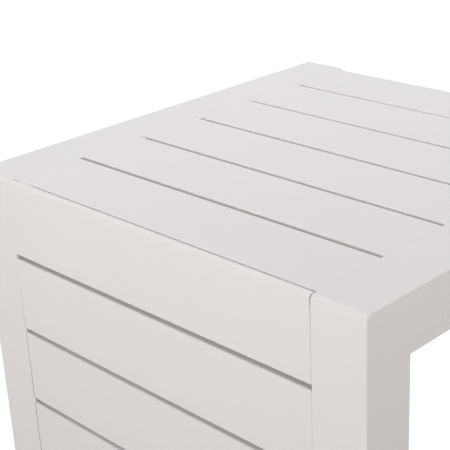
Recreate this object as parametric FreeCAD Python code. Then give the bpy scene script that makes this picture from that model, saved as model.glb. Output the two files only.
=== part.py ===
import FreeCAD, Part
import math
import os

# C-shaped slatted side table of welded, powder-coated aluminium.
# x runs along the slats, y from the upright panel (front, -y) to the open end (rear, +y), z up.
# The origin is on the floor, below the middle of the table. Lengths are in millimetres.

# Frame tubes
table_width = 457.0
tube_size = 50.0
tube_wall = 1.6
tube_edge_radius = 1.2
corner_dressing = 2.8

# Slats
slat_width = 72.0
slat_thickness = 6.4
slat_wall = 1.2
slat_nose = 4.0
slat_web = 1.4
slat_web_count = 2
slat_edge_radius = 1.4
slat_back_radius = 0.3
top_slat_count = 6
top_slat_gap = 4.4
top_gap_closing = 0.45
panel_slat_count = 7
panel_slat_gap = 4.2
seam_gap = 1.2
rail_overhang = 3.9
panel_floor_gap = 0.5

# Welds
bead_size = 3.0
bead_inset = 7.0
flush_share = 0.7
flush_inset = 3.0
seam_depth = 0.3
rear_weld_length = 12.0
rear_weld_drop = 0.3

# Rail end caps
cap_flange = 3.0
cap_edge_radius = 1.0
cap_plug_depth = 14.0
cap_plug_wall = 2.0
cap_fit = 0.3
cap_rib_width = 2.0
cap_rib_offset = 12.0

# Levelling feet and their threaded inserts
foot_inset = 80.0
pad_radius = 16.0
pad_height = 5.0
pad_edge_radius = 1.5
socket_depth = 2.5
socket_fit = 0.1
neck_radius = 5.0
collar_across_flats = 13.0
collar_height = 3.5
foot_gap = 0.5
stud_radius = 4.0
stud_length = 24.0
stud_tip_chamfer = 0.8
stud_clearance = 0.05
insert_radius = 5.4
insert_fit = 0.1
insert_flange_radius = 8.0
insert_flange = 1.5
insert_length = 14.0
insert_bulb_radius = 6.8
insert_bulb_height = 4.0


def gap_room(count):
    # Room taken by the first gaps between the top slats, each a little narrower than the one in front of it
    return count * top_slat_gap - count * (count - 1) / 2 * top_gap_closing


# What follows from those sizes
foot_height = pad_height + collar_height + foot_gap + insert_flange
panel_slat_pitch = slat_width + panel_slat_gap
panel_height = panel_slat_count * panel_slat_pitch - panel_slat_gap
frame_height = panel_height + panel_floor_gap
top_start = slat_thickness + seam_gap
top_length = top_slat_count * slat_width + gap_room(top_slat_count - 1)
rail_length = top_start + top_length + rail_overhang
table_depth = rail_length + cap_flange
corner_radius = tube_edge_radius + corner_dressing
flush_depth = flush_share * tube_edge_radius
beyond = tube_size + bead_size

side_x = table_width / 2
inner_x = side_x - tube_size
front_y = -table_depth / 2
rear_y = table_depth / 2
rail_end_y = front_y + rail_length
foot_x = (inner_x + side_x) / 2
foot_y = rear_y - foot_inset
under_z = foot_height
top_z = under_z + frame_height

sides = (("left", -1), ("right", 1))
ends = (("front", -1), ("rear", 1))
tolerance = 1e-4


def near(value, *places):
    return any(abs(value - p) < tolerance for p in places)


def box(low, high):
    size = [b - a for a, b in zip(low, high)]
    return Part.makeBox(*size, FreeCAD.Vector(*low))


def prism(points, travel):
    corners = [FreeCAD.Vector(*p) for p in points]
    outline = Part.makePolygon(corners + corners[:1])
    return Part.Face(outline).extrude(FreeCAD.Vector(*travel))


def cylinder(radius, height, x, y, z):
    return Part.makeCylinder(radius, height, FreeCAD.Vector(x, y, z))


def rounded(shape, radius, wanted):
    # Rounds the edges whose middle point passes the test
    return shape.makeFillet(radius, [e for e in shape.Edges if wanted(e.CenterOfMass)])


def tube_span(side):
    # Left and right faces of a side frame's tubes
    return sorted((side * inner_x, side * side_x))


def save(name, *solids):
    shape = solids[0] if len(solids) == 1 else Part.makeCompound(solids)
    shape.exportStep("parts/" + name + ".step")


# Outside of the frame: a block with dressed corners and rounded edges, from which tubes are cut

def side_block(side):
    x0, x1 = tube_span(side)
    block = box((x0, front_y, under_z), (x1, rail_end_y, top_z))
    block = rounded(block, corner_radius, lambda c: near(c.y, front_y) and near(c.z, under_z, top_z))
    return rounded(block, tube_edge_radius, lambda c: near(c.x, x0, x1) and not near(c.y, rail_end_y))


def base_block():
    z1 = under_z + tube_size
    block = box((-side_x, 0, under_z), (side_x, rear_y, z1))
    block = rounded(block, corner_radius, lambda c: near(c.y, rear_y) and near(c.x, -side_x, side_x))
    return rounded(block, tube_edge_radius, lambda c: near(c.z, under_z, z1) and not near(c.y, 0))


# Half-spaces on each side of a mitre, as prisms that reach past the tubes

def side_mitre(side, points):
    x0, x1 = tube_span(side)
    return prism([(x0, y, z) for y, z in points], (x1 - x0, 0, 0))


def base_mitre(points):
    return prism([(x, y, under_z) for x, y in points], (0, 0, tube_size))


def leg(side):
    x0, x1 = tube_span(side)
    back_y = front_y + tube_size
    bar = box((x0, front_y, under_z), (x1, back_y, top_z))
    bar = rounded(bar, tube_edge_radius, lambda c: near(c.y, back_y) and near(c.x, x0, x1))
    region = side_mitre(side, [
        (front_y, top_z),
        (front_y, under_z),
        (front_y + beyond, under_z + beyond),
        (front_y + beyond, top_z - beyond),
    ])
    bore = box(
        (x0 + tube_wall, front_y + tube_wall, under_z + tube_wall),
        (x1 - tube_wall, back_y - tube_wall, top_z - tube_wall),
    )
    return bar.common(side_block(side)).common(region).cut(bore)


def top_rail(side):
    x0, x1 = tube_span(side)
    low_z = top_z - tube_size
    bar = box((x0, front_y, low_z), (x1, rail_end_y, top_z))
    bar = rounded(bar, tube_edge_radius, lambda c: near(c.z, low_z) and near(c.x, x0, x1))
    region = side_mitre(side, [
        (front_y, top_z),
        (rail_end_y, top_z),
        (rail_end_y, top_z - beyond),
        (front_y + beyond, top_z - beyond),
    ])
    bore = box(
        (x0 + tube_wall, front_y + tube_wall, low_z + tube_wall),
        (x1 - tube_wall, rail_end_y, top_z - tube_wall),
    )
    return bar.common(side_block(side)).common(region).cut(bore)


def floor_rail(side):
    # The front half follows the side frame's corner, the rear half the base's corner
    x0, x1 = tube_span(side)
    high_z = under_z + tube_size
    front = box((x0, front_y, under_z), (x1, 0, high_z))
    front = rounded(front, tube_edge_radius, lambda c: near(c.z, high_z) and near(c.x, x0, x1))
    front_region = side_mitre(side, [
        (front_y, under_z),
        (0, under_z),
        (0, under_z + beyond),
        (front_y + beyond, under_z + beyond),
    ])
    front = front.common(side_block(side)).common(front_region)
    rear = box((x0, 0, under_z), (x1, rear_y, high_z))
    rear = rounded(rear, tube_edge_radius, lambda c: near(c.x, side * inner_x) and near(c.z, under_z, high_z))
    rear_region = base_mitre([
        (side * side_x, 0),
        (side * side_x, rear_y),
        (side * (side_x - beyond), rear_y - beyond),
        (side * (side_x - beyond), 0),
    ])
    rear = rear.common(base_block()).common(rear_region)
    bore = box(
        (x0 + tube_wall, front_y + tube_wall, under_z + tube_wall),
        (x1 - tube_wall, rear_y - tube_wall, high_z - tube_wall),
    )
    rail = front.fuse(rear).removeSplitter().cut(bore)
    for _, end in ends:
        hole = cylinder(insert_radius + insert_fit, tube_wall, side * foot_x, end * foot_y, under_z)
        rail = rail.cut(hole)
    return rail


def rear_rail():
    high_z = under_z + tube_size
    low_y = rear_y - tube_size
    bar = box((-side_x, low_y, under_z), (side_x, rear_y, high_z))
    bar = rounded(bar, tube_edge_radius, lambda c: near(c.y, low_y) and near(c.z, under_z, high_z))
    region = base_mitre([
        (-side_x, rear_y),
        (side_x, rear_y),
        (side_x - beyond, rear_y - beyond),
        (-side_x + beyond, rear_y - beyond),
    ])
    bore = box(
        (-side_x + tube_wall, low_y + tube_wall, under_z + tube_wall),
        (side_x - tube_wall, rear_y - tube_wall, high_z - tube_wall),
    )
    return bar.common(base_block()).common(region).cut(bore)


# A slat is a hollow plank with solid noses along its edges and webs between its two skins.
# Its long edges are well rounded on the face that shows and only eased on the back.

def slat(low, high, across, face):
    # across is the axis of the slat's width, 1 for y and 2 for z; the other one is its thickness
    # face is the place of the face that shows, along the thickness
    through = 3 - across
    plank = box(low, high)
    plank = rounded(plank, slat_edge_radius, lambda c: near(c.x, 0) and near(c[through], face))
    back = low[through] + high[through] - face
    plank = rounded(plank, slat_back_radius, lambda c: near(c.x, 0) and near(c[through], back))
    cell_count = slat_web_count + 1
    room = slat_width - 2 * slat_nose - slat_web_count * slat_web
    cell_width = room / cell_count
    for i in range(cell_count):
        cell_low = list(low)
        cell_high = list(high)
        cell_low[across] = low[across] + slat_nose + i * (cell_width + slat_web)
        cell_high[across] = cell_low[across] + cell_width
        cell_low[through] = low[through] + slat_wall
        cell_high[through] = high[through] - slat_wall
        plank = plank.cut(box(cell_low, cell_high))
    return plank


def top_slat_y(i):
    return front_y + top_start + i * slat_width + gap_room(i)


def panel_slat_z(i):
    # Lower edge of a panel slat, counted from the top
    return top_z - slat_width - i * panel_slat_pitch


def top_slat(i):
    y = top_slat_y(i)
    return slat((-inner_x, y, top_z - slat_thickness), (inner_x, y + slat_width, top_z), 1, top_z)


def panel_slat(i):
    z = panel_slat_z(i)
    back_y = front_y + slat_thickness
    plank = slat((-inner_x, front_y, z), (inner_x, back_y, z + slat_width), 2, front_y)
    if i == 0:
        # The front edge of the table top is dressed as round as the frame's corners
        nose = min(corner_radius, slat_thickness - slat_edge_radius)
        keep = box((-inner_x, front_y, z), (inner_x, back_y, top_z))
        keep = rounded(keep, nose, lambda c: near(c.y, front_y) and near(c.z, top_z))
        keep = rounded(keep, slat_edge_radius, lambda c: near(c.y, back_y) and near(c.z, top_z))
        plank = plank.common(keep)
    return plank


# Welds: ground flush on the outside, left as fillet beads out of sight

def bead(corner, first, second, travel):
    # Triangular bead in the corner, with a leg along each of two directions
    a = FreeCAD.Vector(*corner)
    b = a + FreeCAD.Vector(*first) * bead_size
    c = a + FreeCAD.Vector(*second) * bead_size
    return prism([tuple(a), tuple(b), tuple(c)], travel)


def flush_span(side):
    # A ground weld stops before it thins out to nothing on the tube's rounded edge
    return sorted((side * inner_x, side * (inner_x + flush_depth)))


def top_flush_weld(side, i, block):
    # Fills the groove between a slat's end and the rounded edge of its rail
    x0, x1 = flush_span(side)
    y = top_slat_y(i)
    low = (x0, y + slat_edge_radius, top_z - flush_depth)
    high = (x1, y + slat_width - slat_edge_radius, top_z)
    return box(low, high).cut(block)


def rear_weld(side):
    # Fills the corner between the last slat's rear edge and the end of the rail
    y = top_slat_y(top_slat_count - 1) + slat_width
    z = top_z - slat_thickness
    outline = [
        (side * inner_x, y, z),
        (side * (inner_x - rear_weld_length), y, z),
        (side * inner_x, y + rail_overhang, z),
    ]
    return prism(outline, (0, 0, slat_thickness - rear_weld_drop))


def panel_flush_weld(side, i, block):
    # Lies a little below the front faces, so that a fine seam shows beside the leg
    x0, x1 = flush_span(side)
    z = panel_slat_z(i)
    inset = flush_inset + (corner_radius if i == 0 else 0)
    low = (x0, front_y + seam_depth, z + flush_inset)
    high = (x1, front_y + flush_depth, z + slat_width - inset)
    return box(low, high).cut(block)


def top_bead(side, i):
    corner = (side * inner_x, top_slat_y(i) + bead_inset, top_z - slat_thickness)
    return bead(corner, (-side, 0, 0), (0, 0, -1), (0, slat_width - 2 * bead_inset, 0))


def panel_bead(side, i):
    corner = (side * inner_x, front_y + slat_thickness, panel_slat_z(i) + bead_inset)
    return bead(corner, (-side, 0, 0), (0, 1, 0), (0, 0, slat_width - 2 * bead_inset))


def corner_beads(side):
    # Inside the two corners of the C, and in the base's rear corner
    x0, _ = tube_span(side)
    run = tube_size - 2 * tube_edge_radius
    start = x0 + tube_edge_radius
    back_y = front_y + tube_size
    upper = bead((start, back_y, top_z - tube_size), (0, 1, 0), (0, 0, -1), (run, 0, 0))
    lower = bead((start, back_y, under_z + tube_size), (0, 1, 0), (0, 0, 1), (run, 0, 0))
    corner = (side * inner_x, rear_y - tube_size, under_z + tube_edge_radius)
    base = bead(corner, (-side, 0, 0), (0, -1, 0), (0, 0, run))
    return upper, lower, base


# A cap is a plate on the end of a top rail with a ribbed plug inside the tube

def rail_cap(side):
    x0, x1 = tube_span(side)
    low_z = top_z - tube_size
    plate = box((x0, rail_end_y, low_z), (x1, rear_y, top_z))
    plate_y = (rail_end_y + rear_y) / 2
    plate = rounded(plate, tube_edge_radius, lambda c: near(c.y, plate_y))
    plate = rounded(plate, cap_edge_radius, lambda c: near(c.y, rear_y))
    gap = tube_wall + cap_fit
    wall = gap + cap_plug_wall
    start_y = rail_end_y - cap_plug_depth
    plug = box((x0 + gap, start_y, low_z + gap), (x1 - gap, rail_end_y, top_z - gap))
    hollow = box((x0 + wall, start_y, low_z + wall), (x1 - wall, rail_end_y, top_z - wall))
    cap = plate.fuse(plug.cut(hollow))
    middle_x = (x0 + x1) / 2
    middle_z = (low_z + top_z) / 2
    half = cap_rib_width / 2
    for offset in (-cap_rib_offset, cap_rib_offset):
        for z in (low_z + tube_wall, top_z - gap):
            x = middle_x + offset
            cap = cap.fuse(box((x - half, start_y, z), (x + half, rail_end_y, z + cap_fit)))
        for x in (x0 + tube_wall, x1 - gap):
            z = middle_z + offset
            cap = cap.fuse(box((x, start_y, z - half), (x + cap_fit, rail_end_y, z + half)))
    return cap.removeSplitter()


# A foot is a pad that carries a stud with a hexagonal collar, screwed into an insert in the floor rail

def foot_pad(x, y):
    pad = cylinder(pad_radius, pad_height, x, y, 0)
    pad = rounded(pad, pad_edge_radius, lambda c: near(c.z, pad_height))
    socket = cylinder(neck_radius + socket_fit, socket_depth, x, y, pad_height - socket_depth)
    return pad.cut(socket)


def foot_stud(x, y):
    collar_z = pad_height
    across_corners = collar_across_flats / math.cos(math.pi / 6)
    angles = [math.pi / 3 * k for k in range(6)]
    hexagon = [
        (x + across_corners / 2 * math.cos(a), y + across_corners / 2 * math.sin(a), collar_z)
        for a in angles
    ]
    collar = prism(hexagon, (0, 0, collar_height))
    neck = cylinder(neck_radius, socket_depth, x, y, pad_height - socket_depth)
    stem = cylinder(stud_radius, stud_length, x, y, collar_z + collar_height)
    tip_z = collar_z + collar_height + stud_length
    tip = [e for e in stem.Edges if near(e.CenterOfMass.z, tip_z)]
    stem = stem.makeChamfer(stud_tip_chamfer, tip)
    return neck.fuse(collar).fuse(stem).removeSplitter()


def foot_insert(x, y):
    flange = cylinder(insert_flange_radius, insert_flange, x, y, under_z - insert_flange)
    barrel = cylinder(insert_radius, insert_length, x, y, under_z)
    bulb = cylinder(insert_bulb_radius, insert_bulb_height, x, y, under_z + tube_wall)
    bore_length = insert_flange + insert_length
    bore = cylinder(stud_radius + stud_clearance, bore_length, x, y, under_z - insert_flange)
    return flange.fuse(barrel).fuse(bulb).cut(bore).removeSplitter()


os.makedirs("parts", exist_ok=True)

for name, side in sides:
    block = side_block(side)
    save(name + "_top_rail", top_rail(side))
    save(name + "_leg", leg(side))
    save(name + "_floor_rail", floor_rail(side))
    save(name + "_rail_cap", rail_cap(side))
    top_welds = [top_flush_weld(side, i, block) for i in range(top_slat_count)]
    save(name + "_top_flush_welds", *top_welds, rear_weld(side))
    save(name + "_panel_flush_welds", *[panel_flush_weld(side, i, block) for i in range(panel_slat_count)])
    save(name + "_top_beads", *[top_bead(side, i) for i in range(top_slat_count)])
    save(name + "_panel_beads", *[panel_bead(side, i) for i in range(panel_slat_count)])
    save(name + "_corner_beads", *corner_beads(side))
    for end_name, end in ends:
        place = end_name + "_" + name
        save(place + "_insert", foot_insert(side * foot_x, end * foot_y))
        save(place + "_stud", foot_stud(side * foot_x, end * foot_y))
        save(place + "_pad", foot_pad(side * foot_x, end * foot_y))

save("rear_floor_rail", rear_rail())
for i in range(top_slat_count):
    save("top_slat_" + str(i + 1), top_slat(i))
for i in range(panel_slat_count):
    save("panel_slat_" + str(i + 1), panel_slat(i))

print("width", table_width, "depth", round(table_depth, 3), "height", round(top_z, 3))
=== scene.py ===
import math
import bmesh
import bpy
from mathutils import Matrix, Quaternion, Vector


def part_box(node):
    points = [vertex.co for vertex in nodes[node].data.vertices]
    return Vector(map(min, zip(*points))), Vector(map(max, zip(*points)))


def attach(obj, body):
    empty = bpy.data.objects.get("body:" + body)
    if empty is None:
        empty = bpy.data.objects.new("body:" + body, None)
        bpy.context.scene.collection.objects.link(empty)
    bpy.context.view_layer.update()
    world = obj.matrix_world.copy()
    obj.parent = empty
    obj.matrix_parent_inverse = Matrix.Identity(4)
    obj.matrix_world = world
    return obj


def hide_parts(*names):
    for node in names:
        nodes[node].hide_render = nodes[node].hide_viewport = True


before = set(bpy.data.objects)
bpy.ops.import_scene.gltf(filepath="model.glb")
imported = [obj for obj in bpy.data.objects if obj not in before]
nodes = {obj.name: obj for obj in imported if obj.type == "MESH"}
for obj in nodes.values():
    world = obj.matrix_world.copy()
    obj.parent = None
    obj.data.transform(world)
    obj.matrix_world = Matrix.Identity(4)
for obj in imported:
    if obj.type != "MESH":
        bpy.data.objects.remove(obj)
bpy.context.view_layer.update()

scene = bpy.context.scene
scene.view_settings.view_transform = "Standard"
mm = 0.001
sides = {"left": -1, "right": 1}
footPlaces = ("front_left", "front_right", "rear_left", "rear_right")
topSlatCount = 6
panelSlatCount = 7
print("frame loaded:", len(nodes), "nodes")


# small helpers for the node trees

def newMaterial(name):
    mat = bpy.data.materials.new(name)
    mat.use_nodes = True
    return mat, mat.node_tree, mat.node_tree.nodes["Principled BSDF"]


def objectPlace(tree):
    return tree.nodes.new("ShaderNodeTexCoord").outputs["Object"]


def addNoise(tree, place, scale, detail=2.0):
    noise = tree.nodes.new("ShaderNodeTexNoise")
    noise.inputs["Scale"].default_value = scale
    noise.inputs["Detail"].default_value = detail
    tree.links.new(place, noise.inputs["Vector"])
    return noise.outputs["Fac"]


def addRange(tree, value, low, high, fromLow=0.3, fromHigh=0.7):
    # most of a noise lies in the span that is taken by default
    node = tree.nodes.new("ShaderNodeMapRange")
    node.inputs["From Min"].default_value = fromLow
    node.inputs["From Max"].default_value = fromHigh
    node.inputs["To Min"].default_value = low
    node.inputs["To Max"].default_value = high
    tree.links.new(value, node.inputs["Value"])
    return node.outputs["Result"]


def addColourMix(tree, amount, first, second):
    # first and second are either colours or sockets
    node = tree.nodes.new("ShaderNodeMix")
    node.data_type = "RGBA"
    tree.links.new(amount, node.inputs["Factor"])
    for slot, colour in (("A", first), ("B", second)):
        socket = [s for s in node.inputs if s.name == slot and s.type == "RGBA"][0]
        if isinstance(colour, tuple):
            socket.default_value = colour
        else:
            tree.links.new(colour, socket)
    return [s for s in node.outputs if s.type == "RGBA"][0]


def addMath(tree, operation, first, second):
    node = tree.nodes.new("ShaderNodeMath")
    node.operation = operation
    tree.links.new(first, node.inputs[0])
    tree.links.new(second, node.inputs[1])
    return node.outputs[0]


def addBump(tree, height, distance, under=None):
    bump = tree.nodes.new("ShaderNodeBump")
    bump.inputs["Distance"].default_value = distance
    bump.inputs["Strength"].default_value = 1.0
    tree.links.new(height, bump.inputs["Height"])
    if under:
        tree.links.new(under, bump.inputs["Normal"])
    return bump.outputs["Normal"]


edgeMask = {"samples": 6, "flat": 1.0, "sharp": 0.9}  # cosines of how far a softened face leans


def addEdgeMask(tree, radius, share):
    # rises to the share on edges sharper than the radius
    bevel = tree.nodes.new("ShaderNodeBevel")
    bevel.samples = edgeMask["samples"]
    bevel.inputs["Radius"].default_value = radius
    face = tree.nodes.new("ShaderNodeNewGeometry")
    lean = tree.nodes.new("ShaderNodeVectorMath")
    lean.operation = "DOT_PRODUCT"
    tree.links.new(bevel.outputs["Normal"], lean.inputs[0])
    tree.links.new(face.outputs["Normal"], lean.inputs[1])
    return addRange(tree, lean.outputs["Value"], 0.0, share, edgeMask["flat"], edgeMask["sharp"])


gapMask = {"samples": 8, "open": 0.6, "deep": 0.2}  # shares of the sky that a face can see


def addGapMask(tree, reach, share):
    # painted shade: rises to the share where faces close by hide the sky
    shelter = tree.nodes.new("ShaderNodeAmbientOcclusion")
    shelter.samples = gapMask["samples"]
    shelter.inputs["Distance"].default_value = reach
    return addRange(tree, shelter.outputs["AO"], 0.0, share, gapMask["open"], gapMask["deep"])


# powder coat, the finish of tubes, slats and welds
powderCoat = {
    "colour": (0.835, 0.805, 0.793, 1.0),
    "drift": (0.815, 0.786, 0.775, 1.0),  # where the coat went on thicker
    "driftScale": 7.0,
    "driftDetail": 3.0,
    "driftShare": 0.7,
    "speckScale": 420.0,
    "speckDetail": 4.0,
    "speckShare": 0.6,
    "speckSpan": (0.5, 0.75),
    "edge": (0.79, 0.762, 0.75, 1.0),  # painted shade on the rounded edges, which tones down the light they catch
    "edgeRadius": 1.6 * mm,
    "edgeShare": 0.5,
    "roughness": (0.46, 0.56),
    "roughScale": 63.0,
    "roughDetail": 3.0,
    "peelScale": 520.0,
    "peelDetail": 1.0,
    "peelHeight": 0.03 * mm,
    "grainScale": 2600.0,
    "grainHeight": 0.006 * mm,
    "paintedShade": (0.05, 0.047, 0.044, 1.0),  # painted shade: the shadow in open seams, slot ends and slots
    "gapShade": 0.45,  # share of painted shade deep in the panel's slots
    "gapReach": 6.0 * mm,
}


def makePowderCoat(name, withPaintedShade=False, withGapShade=False):
    facts = powderCoat
    mat, tree, shader = newMaterial(name)
    place = objectPlace(tree)
    noise = addNoise(tree, place, facts["driftScale"], facts["driftDetail"])
    drift = addRange(tree, noise, 0.0, facts["driftShare"])
    colour = addColourMix(tree, drift, facts["colour"], facts["drift"])
    noise = addNoise(tree, place, facts["speckScale"], facts["speckDetail"])
    speck = addRange(tree, noise, 0.0, facts["speckShare"], *facts["speckSpan"])
    colour = addColourMix(tree, speck, colour, facts["drift"])
    # darker on the edges: painted shade against the light the rounded edges catch
    edge = addEdgeMask(tree, facts["edgeRadius"], facts["edgeShare"])
    colour = addColourMix(tree, edge, colour, facts["edge"])
    if withPaintedShade:
        # painted shadow in seams and slot ends, a share for each point
        paintedShade = tree.nodes.new("ShaderNodeAttribute")
        paintedShade.attribute_name = "paintedShade"
        colour = addColourMix(tree, paintedShade.outputs["Fac"], colour, facts["paintedShade"])
    # painted shade deep in the slots, where close faces hide the sky
    if withGapShade:
        paintedGapShade = addGapMask(tree, facts["gapReach"], facts["gapShade"])
        colour = addColourMix(tree, paintedGapShade, colour, facts["paintedShade"])
    tree.links.new(colour, shader.inputs["Base Color"])
    noise = addNoise(tree, place, facts["roughScale"], facts["roughDetail"])
    tree.links.new(addRange(tree, noise, *facts["roughness"]), shader.inputs["Roughness"])
    noise = addNoise(tree, place, facts["peelScale"], facts["peelDetail"])
    peel = addBump(tree, noise, facts["peelHeight"])
    grain = addBump(tree, addNoise(tree, place, facts["grainScale"]), facts["grainHeight"], peel)
    tree.links.new(grain, shader.inputs["Normal"])
    return mat


# moulded plastic: white end caps and grey foot pads
capPlastic = {
    "name": "whiteCapPlastic",
    "colour": (0.80, 0.785, 0.765, 1.0),
    "drift": (0.76, 0.742, 0.715, 1.0),
    "edge": (0.83, 0.815, 0.80, 1.0),
    "roughness": (0.42, 0.55),
    "grainScale": 1900.0,
    "grainHeight": 0.02 * mm,
}
footPlastic = {
    "name": "greyFootPlastic",
    "colour": (0.155, 0.157, 0.16, 1.0),
    "drift": (0.105, 0.106, 0.109, 1.0),
    "edge": (0.27, 0.268, 0.262, 1.0),  # rubbed pale
    "roughness": (0.48, 0.66),
    "grainScale": 1500.0,
    "grainHeight": 0.03 * mm,
}
mouldMarks = {
    "driftScale": 45.0,
    "driftDetail": 4.0,
    "edgeRadius": 0.8 * mm,
    "wearScale": 300.0,
    "wearDetail": 4.0,
    "wearShare": 0.6,
    "roughScale": 160.0,
    "roughDetail": 3.0,
}


def makePlastic(facts):
    marks = mouldMarks
    mat, tree, shader = newMaterial(facts["name"])
    place = objectPlace(tree)
    drift = addRange(tree, addNoise(tree, place, marks["driftScale"], marks["driftDetail"]), 0.0, 1.0)
    colour = addColourMix(tree, drift, facts["colour"], facts["drift"])
    edge = addEdgeMask(tree, marks["edgeRadius"], 1.0)
    noise = addNoise(tree, place, marks["wearScale"], marks["wearDetail"])
    worn = addMath(tree, "MULTIPLY", edge, addRange(tree, noise, 0.0, marks["wearShare"]))
    colour = addColourMix(tree, worn, colour, facts["edge"])
    tree.links.new(colour, shader.inputs["Base Color"])
    noise = addNoise(tree, place, marks["roughScale"], marks["roughDetail"])
    tree.links.new(addRange(tree, noise, *facts["roughness"]), shader.inputs["Roughness"])
    grain = addBump(tree, addNoise(tree, place, facts["grainScale"]), facts["grainHeight"])
    tree.links.new(grain, shader.inputs["Normal"])
    return mat


# zinc plating on the foot studs and their inserts
zincPlate = {
    "colour": (0.60, 0.61, 0.625, 1.0),
    "tarnish": (0.47, 0.465, 0.44, 1.0),
    "tarnishScale": 190.0,
    "tarnishDetail": 5.0,
    "tarnishShare": 0.8,
    "tarnishSpan": (0.42, 0.7),
    "bright": (0.72, 0.73, 0.745, 1.0),  # rubbed edges
    "edgeRadius": 0.3 * mm,
    "edgeShare": 0.7,
    "roughness": (0.24, 0.46),
    "roughScale": 420.0,
    "roughDetail": 4.0,
    "toolMark": 0.012 * mm,
    "toolStretch": (400.0, 400.0, 9000.0),  # fine rings round the upright axis
}


def makeZinc():
    facts = zincPlate
    mat, tree, shader = newMaterial("zincPlatedSteel")
    shader.inputs["Metallic"].default_value = 1.0
    place = objectPlace(tree)
    noise = addNoise(tree, place, facts["tarnishScale"], facts["tarnishDetail"])
    dull = addRange(tree, noise, 0.0, facts["tarnishShare"], *facts["tarnishSpan"])
    colour = addColourMix(tree, dull, facts["colour"], facts["tarnish"])
    edge = addEdgeMask(tree, facts["edgeRadius"], facts["edgeShare"])
    colour = addColourMix(tree, edge, colour, facts["bright"])
    tree.links.new(colour, shader.inputs["Base Color"])
    noise = addNoise(tree, place, facts["roughScale"], facts["roughDetail"])
    tree.links.new(addRange(tree, noise, *facts["roughness"]), shader.inputs["Roughness"])
    stretch = tree.nodes.new("ShaderNodeMapping")
    stretch.inputs["Scale"].default_value = facts["toolStretch"]
    tree.links.new(place, stretch.inputs["Vector"])
    marks = addBump(tree, addNoise(tree, stretch.outputs[0], 1.0), facts["toolMark"])
    tree.links.new(marks, shader.inputs["Normal"])
    return mat


finishes = {
    "white_powder_coat": makePowderCoat("whitePowderCoat"),
    "white_cap_plastic": makePlastic(capPlastic),
    "grey_foot_plastic": makePlastic(footPlastic),
    "zinc_plated_steel": makeZinc(),
}
seamCoat = makePowderCoat("seamPowderCoat", withPaintedShade=True)
panelCoat = makePowderCoat("panelPowderCoat", withGapShade=True)
gapShadedSlats = ["panel_slat_%d" % (i + 1) for i in range(1, panelSlatCount)]  # all but the top one; their slots get painted shade
for name, node in nodes.items():
    coat = finishes["white_cap_plastic" if name.endswith("_cap") else "white_powder_coat"]
    node.data.materials.clear()
    node.data.materials.append(panelCoat if name in gapShadedSlats else coat)
print("finishes done:", len(finishes))


# meshes: rows of points joined into skins
pointMerge = 1e-7


def loft(points, faces, rings):
    # rings of equal length, joined in order and closed at both ends
    start = len(points)
    count = len(rings[0])
    for ring in rings:
        points.extend(ring)
    for i in range(len(rings) - 1):
        a = start + i * count
        b = a + count
        for k in range(count):
            n = (k + 1) % count
            faces.append((a + k, a + n, b + n, b + k))
    faces.append(tuple(reversed(range(start, start + count))))
    last = start + (len(rings) - 1) * count
    faces.append(tuple(range(last, last + count)))


def makePiece(name, points, faces, body, slot, replaced, sharpAngle, shades=None):
    # shades give each point's share of painted shade
    mesh = bpy.data.meshes.new(name)
    mesh.from_pydata(points, [], faces)
    if shades:
        mesh.attributes.new("paintedShade", "FLOAT", "POINT").data.foreach_set("value", shades)
    work = bmesh.new()
    work.from_mesh(mesh)
    bmesh.ops.remove_doubles(work, verts=work.verts, dist=pointMerge)
    bmesh.ops.recalc_face_normals(work, faces=work.faces)
    work.to_mesh(mesh)
    work.free()
    piece = bpy.data.objects.new(name, mesh)
    scene.collection.objects.link(piece)
    mesh.shade_smooth()
    mesh.set_sharp_from_angle(angle=math.radians(sharpAngle))
    mesh.materials.append(seamCoat if shades else finishes[slot])
    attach(piece, body)
    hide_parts(*replaced)


def makeWeld(name, points, faces, replaced, sharpAngle, shades=None):
    makePiece(name, points, faces, "frame", "white_powder_coat", replaced, sharpAngle, shades)


def slatStart(i):
    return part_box("top_slat_%d" % (i + 1))[0].y


def slatFoot(i):
    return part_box("panel_slat_%d" % (i + 1))[0].z


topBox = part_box("top_slat_1")
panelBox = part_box("panel_slat_1")
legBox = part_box("right_leg")
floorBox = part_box("rear_floor_rail")
innerX = topBox[1].x
topZ = topBox[1].z
frontY = panelBox[0].y
slatWidth = panelBox[1].z - panelBox[0].z
slatThickness = panelBox[1].y - panelBox[0].y


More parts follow.
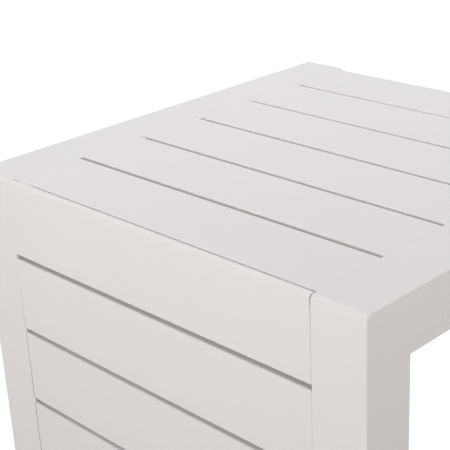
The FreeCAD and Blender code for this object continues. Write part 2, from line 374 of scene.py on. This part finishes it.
# welds ground flush on the table top: they fill the groove along the rail's rounded edge
topWeld = {
    "edge": 1.2 * mm,  # radius of the rail's edge
    "slatEdge": 1.4 * mm,
    "least": 0.05 * mm,  # the weld starts this much above the groove's foot
    "endSteps": 6,
    "arcSteps": 6,
    "sharpAngle": 25,
    "fillSide": "left",  # here the welds have run into the slots' ends
    "slotFill": {  # mm from the rail, mm deep, share of painted shade
        1: ((0.0, 0.45, 0.0), (1.4, 0.5, 0.0), (2.0, 0.9, 0.0)),
        2: ((0.0, 0.6, 0.15), (1.5, 0.8, 0.2), (3.0, 1.0, 0.2), (4.5, 1.3, 0.1), (6.0, 2.0, 0.0)),
        3: ((0.0, 0.3, 0.0), (6.0, 0.3, 0.0), (7.0, 0.3, 0.45), (8.2, 0.3, 0.62),
            (9.4, 0.3, 0.6), (11.0, 0.7, 0.35), (11.8, 1.6, 0.1)),
        4: ((0.0, 0.3, 0.0), (2.5, 0.3, 0.05), (4.5, 0.35, 0.15), (6.5, 0.4, 0.3),
            (8.5, 0.5, 0.45), (11.2, 0.5, 0.55), (12.4, 0.8, 0.4), (13.0, 1.5, 0.1)),
        5: ((0.0, 0.25, 0.0), (5.0, 0.25, 0.0), (7.0, 0.3, 0.2), (9.0, 0.35, 0.5),
            (11.0, 0.4, 0.7), (14.2, 0.4, 0.7), (15.2, 0.8, 0.4), (15.8, 1.5, 0.1)),
    },
    "fillFloor": 2.2 * mm,
    "rearFillet": (  # mm from the rail, mm wide
        (0.0, 3.9), (2.5, 3.5), (5.5, 2.5), (8.5, 1.2), (10.5, 0.5), (12.0, 0.1)),
    "rearDepth": 0.3 * mm,
}


def edgeFlare(r, depth):
    # how far a rounded edge has moved in at this depth
    return r - math.sqrt(max(0.0, r * r - (r - depth) ** 2))


def addFill(points, faces, shades, side, front, back, rows, floor):
    # weld metal or paint between two slats
    r = topWeld["slatEdge"]
    rings = []
    for run, deep, paintedShade in rows:
        x = side * (innerX - run * mm)
        top = topZ - deep * mm
        flare = edgeFlare(r, deep * mm)
        ring = [(x, front - flare, top), (x, back + flare, top), (x, back, floor), (x, front, floor)]
        rings.append(ring)
        # each row's share of painted shade goes to all points of its ring
        shades.extend([paintedShade] * len(ring))
    loft(points, faces, rings)


def addRearFillet(points, faces, side):
    # the inner corner behind the last slat
    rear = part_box("top_slat_%d" % topSlatCount)[1].y
    depth = topWeld["rearDepth"]
    top = topZ - depth
    floor = topZ - slatThickness
    start = rear - edgeFlare(topWeld["slatEdge"], depth)
    rings = []
    for run, wide in topWeld["rearFillet"]:
        x = side * (innerX - run * mm)
        back = rear + wide * mm
        soft = min(wide * mm / 2, depth)
        ring = [(x, start, top), (x, back - soft, top), (x, back, top - soft)]
        ring += [(x, back, floor), (x, rear, floor)]
        rings.append(ring)
    loft(points, faces, rings)


def makeTopWelds(name, side):
    facts = topWeld
    r = facts["edge"]
    slatEdge = facts["slatEdge"]
    first = math.asin(1 - (r - facts["least"]) / slatEdge)  # where the slat's edge rises above the weld
    stations = []
    for k in range(facts["endSteps"] + 1):
        turned = first + (math.pi / 2 - first) * k / facts["endSteps"]
        stations.append((slatEdge * (1 - math.cos(turned)), slatEdge * (1 - math.sin(turned))))
    stations += [(slatWidth - run, drop) for run, drop in reversed(stations)]
    points = []
    faces = []
    for i in range(topSlatCount):
        y = slatStart(i)
        rings = []
        for run, drop in stations:
            reach = edgeFlare(r, drop)  # where the rail's edge is this low
            ring = []
            for k in range(facts["arcSteps"] + 1):
                x = reach * k / facts["arcSteps"]
                z = math.sqrt(max(0.0, r * r - (r - x) ** 2)) - r
                ring.append((side * (innerX + x), y + run, topZ + z))
            ring.append((side * innerX, y + run, topZ - drop))
            rings.append(ring)
        loft(points, faces, rings)
    addRearFillet(points, faces, side)
    shades = [0.0] * len(points)
    if name == facts["fillSide"]:
        for slot, rows in facts["slotFill"].items():
            front = slatStart(slot - 1) + slatWidth
            addFill(points, faces, shades, side, front, slatStart(slot), rows, topZ - facts["fillFloor"])
    replaced = [name + "_top_flush_welds"]
    makeWeld(name + "TopFlushWelds", points, faces, replaced, facts["sharpAngle"], shades)


# welds beside the upright: a fine seam is left, with values given by how many mm below the top they are
panelWeld = {
    "edge": 1.2 * mm,
    "corner": 4.0 * mm,  # rounded front edge of the top
    "step": 1.0 * mm,
    "arcSteps": 5,
    "sharpAngle": 40,
    "endInset": 1.4 * mm,
    "endDepth": 0.05 * mm,
    "leastDepth": 0.02 * mm,
    "mostDepth": 0.95,  # of the edge's radius
    "wave": 0.03 * mm,
    "waveTurn": 1.7,
    "slowTurn": 0.61,
    "slowShare": 0.6,
    "depth": {
        "left": ((0, 0.10), (110, 0.07), (140, 0.06), (540, 0.06)),
        "right": ((0, 0.30), (8, 0.32), (14, 0.29), (20, 0.26), (60, 0.2), (140, 0.14), (540, 0.16)),
    },
    # painted shadow of the open seam, by mm below the top
    "paintedShade": {
        "left": ((0, 0.0), (80, 0.0), (100, 0.12), (120, 0.25), (132, 0.36), (145, 0.6), (171, 0.7),
                 (193, 0.7), (205, 0.95), (240, 0.95), (300, 0.85), (540, 0.6)),
        "right": ((0, 1.0), (8, 0.95), (10, 0.65), (13, 0.42), (20, 0.24), (60, 0.1), (140, 0.0), (540, 0.0)),
    },
    "crackSide": "right",  # the ground corner has opened a little here
    "crackWidth": (  # degrees round the corner, mm
        (30, 0.24), (44, 0.28), (54, 0.44), (64, 0.60), (74, 0.56), (80, 0.46)),
    "crackStep": 2,
    "crackDepth": 0.3 * mm,
    "crackRise": 0.015 * mm,
    "seamSteps": 6,
    "bridgeSide": "left",  # paint has run into the end of the seam across the top
    "bridge": (  # mm from the slat's end, mm deep
        (0.6, 1.25), (2.0, 1.0), (4.0, 1.1), (9.0, 0.95), (12.5, 0.8), (14.0, 0.7), (15.5, 0.95),
        (17.5, 1.0), (19.5, 0.72), (21.0, 0.98), (23.0, 0.78), (25.0, 1.0), (27.0, 1.35)),
    "bridgeFloor": 1.8 * mm,
}


def valueAt(rows, spot):
    for (d0, s0), (d1, s1) in zip(rows, rows[1:]):
        if d0 <= spot <= d1:
            return s0 + (s1 - s0) * (spot - d0) / (d1 - d0)
    return rows[-1][1]


def cornerDrop(run):
    # how far the rounded corner falls back at this distance from it
    r = panelWeld["corner"]
    return edgeFlare(r, run) if run < r else 0.0


def seamRing(side, depth, place):
    # the groove between a slat's end and the tube's rounded edge, filled up to this depth
    r = panelWeld["edge"]
    depth = min(max(depth, panelWeld["leastDepth"]), r * panelWeld["mostDepth"])
    reach = edgeFlare(r, depth)
    ring = [(side * innerX, *place(depth))]
    for k in range(panelWeld["arcSteps"] + 1):
        x = reach * (1 - k / panelWeld["arcSteps"])
        ring.append((side * (innerX + x), *place(edgeFlare(r, x))))
    return ring


def addCrack(points, faces, side):
    facts = panelWeld
    r = facts["corner"]
    rows = facts["crackWidth"]
    heights = (r + facts["crackRise"], r - facts["crackDepth"])
    rings = []
    for angle in range(rows[0][0], rows[-1][0] + 1, facts["crackStep"]):
        back = math.sin(math.radians(angle))
        up = math.cos(math.radians(angle))
        edges = (0.0, valueAt(rows, angle) * mm)
        ring = []
        for height, row in zip(heights, (edges, edges[::-1])):
            for x in row:
                ring.append((side * (innerX + x), frontY + r - back * height, topZ - r + up * height))
        rings.append(ring)
    loft(points, faces, rings)


def addTopSeam(points, faces, name, side):
    # the stretch of the seam that runs over the corner onto the top
    facts = panelWeld
    low = frontY + facts["endInset"]
    high = frontY + slatThickness - facts["endInset"] / 2
    rings = []
    for k in range(facts["seamSteps"] + 1):
        y = low + (high - low) * k / facts["seamSteps"]
        depth = max(facts["depth"][name][0][1] * mm, cornerDrop(y - frontY) + facts["endDepth"])
        rings.append(seamRing(side, depth, lambda d: (y, topZ - d)))
    loft(points, faces, rings)


def makePanelWelds(name, side):
    facts = panelWeld
    points = []
    faces = []
    shades = []
    for i in range(panelSlatCount):
        low = slatFoot(i) + facts["endInset"]
        high = slatFoot(i) + slatWidth - facts["endInset"]
        count = max(2, round((high - low) / facts["step"]))
        rings = []
        for k in range(count + 1):
            z = low + (high - low) * k / count
            below = (topZ - z) / mm
            slow = facts["slowShare"] * math.sin(below * facts["slowTurn"] + i)
            wave = facts["wave"] * (math.sin(below * facts["waveTurn"]) + slow)
            depth = valueAt(facts["depth"][name], below) * mm + wave
            depth = max(depth, cornerDrop(topZ - z) + facts["endDepth"])
            ring = seamRing(side, depth, lambda d: (frontY + d, z))
            rings.append(ring)
            shades.extend([valueAt(facts["paintedShade"][name], below)] * len(ring))
        loft(points, faces, rings)
    if name == facts["crackSide"]:
        addTopSeam(points, faces, name, side)
        addCrack(points, faces, side)
        # the opened corner and the seam over the top are painted fully dark, as painted shadow
        shades.extend([1.0] * (len(points) - len(shades)))
    if name == facts["bridgeSide"]:
        floor = topZ - facts["bridgeFloor"]
        rows = [(run, deep, 0.0) for run, deep in facts["bridge"]]
        addFill(points, faces, shades, side, frontY + slatThickness, slatStart(0), rows, floor)
    replaced = [name + "_panel_flush_welds"]
    makeWeld(name + "PanelSeamWelds", points, faces, replaced, facts["sharpAngle"], shades)


# fillet beads out of sight, left as welded: a row of overlapping ripples
weldBead = {
    "size": 3.0 * mm,
    "inset": 7.0 * mm,
    "step": 0.35 * mm,
    "arcSteps": 7,
    "sharpAngle": 60,
    "bulge": 0.45,
    "ripple": 2.1 * mm,
    "rippleHeight": 0.16,
    "rippleDrift": (0.12, 0.37),  # share of a ripple, turn for each mm
    "toeShare": 0.3,
    "endTaper": 2.6 * mm,
    "leastTaper": 0.04,
    "sizeDrift": (0.03, 0.21),  # share of the size, turn for each mm
    "seedTurn": 2.3,
}


def addBead(points, faces, corner, first, second, along, length, seed):
    facts = weldBead
    corner = Vector(corner)
    first = Vector(first)
    second = Vector(second)
    along = Vector(along)
    count = round(length / facts["step"])
    rings = []
    for k in range(count + 1):
        t = length * k / count
        share, rate = facts["rippleDrift"]
        phase = (t / facts["ripple"] + share * math.sin(t / mm * rate + seed)) % 1.0
        ripple = 1.0 - facts["rippleHeight"] * phase ** 2  # each ripple rises and laps over the one before
        toe = 1.0 - facts["rippleHeight"] * facts["toeShare"] * phase
        near = min(1.0, min(t, length - t) / facts["endTaper"])
        taper = math.sqrt(max(facts["leastTaper"], 1 - (1 - near) ** 2))
        share, rate = facts["sizeDrift"]
        drift = 1.0 - share + share * math.sin(t / mm * rate + facts["seedTurn"] * seed)
        leg = facts["size"] * taper * drift
        ring = [corner + along * t]
        for step in range(facts["arcSteps"] + 1):
            u = math.pi / 2 * step / facts["arcSteps"]
            c = math.cos(u)
            s = math.sin(u)
            chord = 1 / (c + s)
            swell = chord + (1 - chord) * facts["bulge"] * ripple
            ring.append(corner + along * t + (first * c + second * s) * leg * swell * toe)
        rings.append([tuple(p) for p in ring])
    loft(points, faces, rings)


def makeTopBeads(name, side):
    inset = weldBead["inset"]
    run = slatWidth - 2 * inset
    points = []
    faces = []
    for i in range(topSlatCount):
        corner = (side * innerX, slatStart(i) + inset, topZ - slatThickness)
        addBead(points, faces, corner, (-side, 0, 0), (0, 0, -1), (0, 1, 0), run, i + side)
    makeWeld(name + "TopBeads", points, faces, [name + "_top_beads"], weldBead["sharpAngle"])


def makePanelBeads(name, side):
    inset = weldBead["inset"]
    run = slatWidth - 2 * inset
    points = []
    faces = []
    for i in range(panelSlatCount):
        corner = (side * innerX, frontY + slatThickness, slatFoot(i) + inset)
        addBead(points, faces, corner, (-side, 0, 0), (0, 1, 0), (0, 0, 1), run, i + 4 * side)
    makeWeld(name + "PanelBeads", points, faces, [name + "_panel_beads"], weldBead["sharpAngle"])


def makeCornerBeads(name, side):
    tube = legBox[1].y - legBox[0].y
    edge = topWeld["edge"]
    across = tube - 2 * edge
    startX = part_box(name + "_leg")[0].x + edge
    backY = legBox[1].y
    points = []
    faces = []
    upper = (startX, backY, topZ - tube)
    addBead(points, faces, upper, (0, 1, 0), (0, 0, -1), (1, 0, 0), across, 3 + side)
    lower = (startX, backY, floorBox[1].z)
    addBead(points, faces, lower, (0, 1, 0), (0, 0, 1), (1, 0, 0), across, 5 + side)
    rear = (side * innerX, floorBox[0].y, floorBox[0].z + edge)
    addBead(points, faces, rear, (-side, 0, 0), (0, -1, 0), (0, 0, 1), across, 7 + side)
    makeWeld(name + "CornerBeads", points, faces, [name + "_corner_beads"], weldBead["sharpAngle"])


for name, side in sides.items():
    makeTopWelds(name, side)
    makePanelWelds(name, side)
    makeTopBeads(name, side)
    makePanelBeads(name, side)
    makeCornerBeads(name, side)
print("welds done")


# levelling feet: turned pieces, made from a profile of radius and height

def turn(points, faces, centre, profile, segments, shape, looped=False):
    start = len(points)
    for radius, height in profile:
        for k in range(segments):
            angle = 2 * math.pi * k / segments
            r = shape(angle, radius, height)
            x = centre[0] + r * math.cos(angle)
            y = centre[1] + r * math.sin(angle)
            points.append((x, y, centre[2] + height))
    rows = len(profile)
    for i in range(rows if looped else rows - 1):
        a = start + i * segments
        b = start + ((i + 1) % rows) * segments
        for k in range(segments):
            n = (k + 1) % segments
            faces.append((a + k, a + n, b + n, b + k))
    if not looped:
        faces.append(tuple(reversed(range(start, start + segments))))
        last = start + (rows - 1) * segments
        faces.append(tuple(range(last, last + segments)))


def waveAt(angle):
    return 0.5 + 0.5 * math.cos(angle)


footPad = {
    "segments": 144,
    "sharpAngle": 35,
    "radius": 16.0 * mm,
    "scallops": 24,
    "scallopDepth": 0.45 * mm,
    "scallopStart": 13.0 * mm,
    "scallopPower": 3,  # narrow grooves with wide lands between them
    "profile": (
        (3.0, 1.0), (8.6, 1.0), (9.0, 0.9), (9.3, 0.25), (9.6, 0.0), (14.2, 0.0), (14.9, 0.12),
        (15.5, 0.5), (15.85, 1.0), (16.0, 1.6), (16.0, 2.9), (15.85, 3.45), (15.4, 3.95), (14.7, 4.35),
        (13.6, 4.62), (12.4, 4.78), (11.6, 4.84), (11.3, 4.7), (10.9, 4.62), (10.5, 4.7), (10.2, 4.9),
        (9.4, 5.0), (5.6, 5.0), (5.25, 4.92), (5.1, 4.7), (5.1, 2.5), (3.0, 2.5)),
}


def makePad(place, centre):
    facts = footPad
    start = facts["scallopStart"]

    def scallop(angle, radius, height):
        share = max(0.0, (radius - start) / (facts["radius"] - start))
        groove = waveAt(facts["scallops"] * angle) ** facts["scallopPower"]
        return radius - facts["scallopDepth"] * share * groove

    points = []
    faces = []
    profile = [(r * mm, h * mm) for r, h in facts["profile"]]
    turn(points, faces, (centre.x, centre.y, 0.0), profile, facts["segments"], scallop)
    makePiece(place + "FootPad", points, faces, place + "_foot", "grey_foot_plastic", [place + "_pad"],
              facts["sharpAngle"])


footStud = {
    "segments": 48,
    "sharpAngle": 35,
    "pitch": 1.25 * mm,
    "crest": 4.0 * mm,
    "root": 3.32 * mm,
    "rowsPerTurn": 10,
    "rootFlat": 0.12,  # shares of half a turn of thread
    "flank": 0.70,
    "tipStep": 0.35 * mm,
    "tipSlope": 0.75,
    "collarSegments": 144,
    "collarHeight": 3.5 * mm,
    "acrossFlats": 13.0 * mm,
    "chamfer": 0.5 * mm,
    "chamferRun": 1.7,  # times its height
    "neck": 5.0 * mm,
    "shoulder": ((5.2, 0.0), (5.0, 0.15), (3.6, 0.15)),  # mm from the axis, mm above the collar
    "overlap": 0.5 * mm,
}


def makeStud(place, centre):
    facts = footStud
    low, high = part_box(place + "_stud")
    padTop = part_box(place + "_pad")[1].z
    collarTop = padTop + facts["collarHeight"]
    stemLow = collarTop - facts["overlap"]
    halfSide = math.pi / 6  # half a side of the hexagon, as an angle
    flat = facts["acrossFlats"] / 2
    corner = flat / math.cos(halfSide)
    cut = facts["chamfer"]
    rim = corner - cut * facts["chamferRun"]
    neck = facts["neck"]
    root = facts["root"]
    axis = (centre.x, centre.y, 0.0)

    def hexagon(angle, radius, height):
        lean = (angle + halfSide) % (2 * halfSide) - halfSide
        return min(radius, flat / math.cos(halfSide - abs(lean)))

    def thread(angle, radius, height):
        phase = ((height - stemLow) / facts["pitch"] - angle / (2 * math.pi)) % 1.0
        rise = min(1.0, max(0.0, (abs(phase - 0.5) * 2 - facts["rootFlat"]) / facts["flank"]))
        tip = root - facts["tipStep"] + (high.z - height) * facts["tipSlope"]
        return min(root + (radius - root) * rise, tip)

    points = []
    faces = []
    collar = [(neck, low.z), (neck, padTop), (rim, padTop), (corner, padTop + cut)]
    collar += [(corner, collarTop - cut), (rim, collarTop)]
    collar += [(r * mm, collarTop + h * mm) for r, h in facts["shoulder"]]
    turn(points, faces, axis, collar, facts["collarSegments"], hexagon)
    rows = round((high.z - stemLow) / facts["pitch"] * facts["rowsPerTurn"])
    stem = [(facts["crest"], stemLow + (high.z - stemLow) * k / rows) for k in range(rows + 1)]
    turn(points, faces, axis, stem, facts["segments"], thread)
    makePiece(place + "ThreadedStud", points, faces, place + "_foot", "zinc_plated_steel", [place + "_stud"],
              facts["sharpAngle"])


# threaded insert, pressed into the floor rail: a knurled flange below and a swaged bulb inside the tube
footInsert = {
    "segments": 160,
    "sharpAngle": 35,
    "teeth": 40,
    "toothDepth": 0.22 * mm,
    "toothRadius": 7.9 * mm,
    "toothTop": 1.4 * mm,
    "profile": (
        (4.06, 0.35), (4.4, 0.0), (7.3, 0.0), (7.75, 0.12), (8.0, 0.45), (8.0, 1.5), (5.4, 1.5),
        (5.4, 3.1), (6.0, 3.2), (6.6, 3.7), (6.8, 4.4), (6.7, 5.6), (6.2, 6.6), (5.6, 7.1),
        (5.4, 7.4), (5.4, 15.1), (5.0, 15.5), (4.3, 15.5), (4.06, 15.2)),
}


def makeInsert(place, centre):
    facts = footInsert
    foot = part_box(place + "_insert")[0].z

    def knurl(angle, radius, height):
        if radius < facts["toothRadius"] or height > facts["toothTop"]:
            return radius
        return radius - facts["toothDepth"] * waveAt(facts["teeth"] * angle)

    points = []
    faces = []
    profile = [(r * mm, h * mm) for r, h in facts["profile"]]
    turn(points, faces, (centre.x, centre.y, foot), profile, facts["segments"], knurl, True)
    makePiece(place + "ThreadedInsert", points, faces, "frame", "zinc_plated_steel", [place + "_insert"],
              facts["sharpAngle"])


for place in footPlaces:
    low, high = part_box(place + "_pad")
    centre = (low + high) / 2
    makePad(place, centre)
    makeStud(place, centre)
    makeInsert(place, centre)
print("feet done")


# floor and backdrop: white to the camera, pale to the light
stage = {"size": 12.0, "colour": (0.7, 0.7, 0.7, 1.0), "glow": 0.75, "white": (1.0, 1.0, 1.0, 1.0)}


def addSeen(tree):
    # 1 for rays that show the backdrop: straight to the camera, mirrored or through glass
    path = tree.nodes.new("ShaderNodeLightPath")
    seen = path.outputs["Is Camera Ray"]
    for kind in ("Is Glossy Ray", "Is Transmission Ray"):
        seen = addMath(tree, "MAXIMUM", seen, path.outputs[kind])
    return seen


def makeFloor():
    mesh = bpy.data.meshes.new("floor")
    half = stage["size"] / 2
    corners = [(-half, -half, 0), (half, -half, 0), (half, half, 0), (-half, half, 0)]
    mesh.from_pydata(corners, [], [(0, 1, 2, 3)])
    floor = bpy.data.objects.new("floor", mesh)
    scene.collection.objects.link(floor)
    mat = bpy.data.materials.new("floorWhite")
    mat.use_nodes = True
    tree = mat.node_tree
    tree.nodes.clear()
    out = tree.nodes.new("ShaderNodeOutputMaterial")
    diffuse = tree.nodes.new("ShaderNodeBsdfDiffuse")
    diffuse.inputs["Color"].default_value = stage["colour"]
    glow = tree.nodes.new("ShaderNodeEmission")
    level = tree.nodes.new("ShaderNodeMath")
    level.operation = "MULTIPLY"
    level.inputs[1].default_value = stage["glow"]
    tree.links.new(addSeen(tree), level.inputs[0])
    tree.links.new(level.outputs[0], glow.inputs["Strength"])
    both = tree.nodes.new("ShaderNodeAddShader")
    tree.links.new(diffuse.outputs[0], both.inputs[0])
    tree.links.new(glow.outputs[0], both.inputs[1])
    tree.links.new(both.outputs[0], out.inputs["Surface"])
    mesh.materials.append(mat)


# studio: an even sky, three soft boxes and two strips with grids,
# a little cooler from above than from the front
studio = {
    "skyLight": 0.394,
    "boxes": {
        "backBox": {
            "place": (0.1, 0.55, 1.8),
            "aim": (0.0, 0.0, 0.4),
            "size": (0.9, 0.9),
            "spread": 180.0,
            "power": 4.25,
            "tint": (0.985, 1.002, 1.02),
        },
        "leftBox": {
            "place": (-0.8, 0.1, 1.7),
            "aim": (0.0, 0.0, 0.4),
            "size": (0.9, 0.9),
            "spread": 180.0,
            "power": 5.22,
            "tint": (0.985, 1.002, 1.02),
        },
        "frontBox": {
            "place": (0.0, -2.2, 0.3),
            "aim": (0.0, 0.0, 0.35),
            "size": (1.2, 1.2),
            "spread": 180.0,
            "power": 11.2,
            "tint": (1.014, 0.997, 0.988),
        },
        "frontStrip": {
            "place": (-0.1, -1.5, 0.85),
            "aim": (-0.05, -0.23, 0.75),
            "size": (1.4, 0.5),
            "spread": 60.0,
            "power": 1.15,
            "tint": (1.014, 0.997, 0.988),
        },
        "rightStrip": {
            "place": (1.5, -0.1, 0.85),
            "aim": (0.23, -0.1, 0.75),
            "size": (1.4, 0.5),
            "spread": 60.0,
            "power": 1.207,
            "tint": (1.03, 0.995, 0.958),
        },
    },
}


def makeSky():
    world = bpy.data.worlds.new("studioSky")
    scene.world = world
    world.use_nodes = True
    tree = world.node_tree
    tree.nodes.clear()
    out = tree.nodes.new("ShaderNodeOutputWorld")
    light = tree.nodes.new("ShaderNodeBackground")
    light.inputs["Color"].default_value = stage["white"]
    light.inputs["Strength"].default_value = studio["skyLight"]
    backdrop = tree.nodes.new("ShaderNodeBackground")
    backdrop.inputs["Color"].default_value = stage["white"]
    pick = tree.nodes.new("ShaderNodeMixShader")
    tree.links.new(addSeen(tree), pick.inputs["Fac"])
    tree.links.new(light.outputs[0], pick.inputs[1])
    tree.links.new(backdrop.outputs[0], pick.inputs[2])
    tree.links.new(pick.outputs[0], out.inputs["Surface"])


def makeSoftBox(name, facts):
    data = bpy.data.lights.new(name, "AREA")
    data.shape = "RECTANGLE"
    data.size, data.size_y = facts["size"]
    data.spread = math.radians(facts["spread"])  # under 180 it is a box with a grid in front
    data.energy = facts["power"]
    data.color = facts["tint"]
    lamp = bpy.data.objects.new(name, data)
    scene.collection.objects.link(lamp)
    lamp.location = facts["place"]
    lamp.visible_camera = False
    aim = Vector(facts["aim"]) - Vector(facts["place"])
    lamp.rotation_mode = "QUATERNION"
    lamp.rotation_quaternion = aim.to_track_quat("-Z", "Y")


makeFloor()
makeSky()
for name, facts in studio["boxes"].items():
    makeSoftBox(name, facts)
print("floor and light done")


# camera at the photograph's own view
view = {
    "place": (0.65168, -0.76301, 0.89292),
    "azimuth": 46.156,
    "elevation": 22.781,
    "roll": 2.906,
    "lens": 92.181,
    "sensor": 36.0,
    "nearest": 0.01,
}


def makeCamera():
    data = bpy.data.cameras.new("photoCamera")
    data.sensor_width = view["sensor"]
    data.lens = view["lens"]
    data.clip_start = view["nearest"]
    camera = bpy.data.objects.new("photoCamera", data)
    scene.collection.objects.link(camera)
    azimuth = math.radians(view["azimuth"])
    elevation = math.radians(view["elevation"])
    level = math.cos(elevation)
    forward = Vector((-math.sin(azimuth) * level, math.cos(azimuth) * level, -math.sin(elevation)))
    camera.location = view["place"]
    camera.rotation_mode = "QUATERNION"
    tilt = Quaternion((0, 0, 1), -math.radians(view["roll"]))
    camera.rotation_quaternion = forward.to_track_quat("-Z", "Y") @ tilt
    scene.camera = camera


makeCamera()
print("camera done")
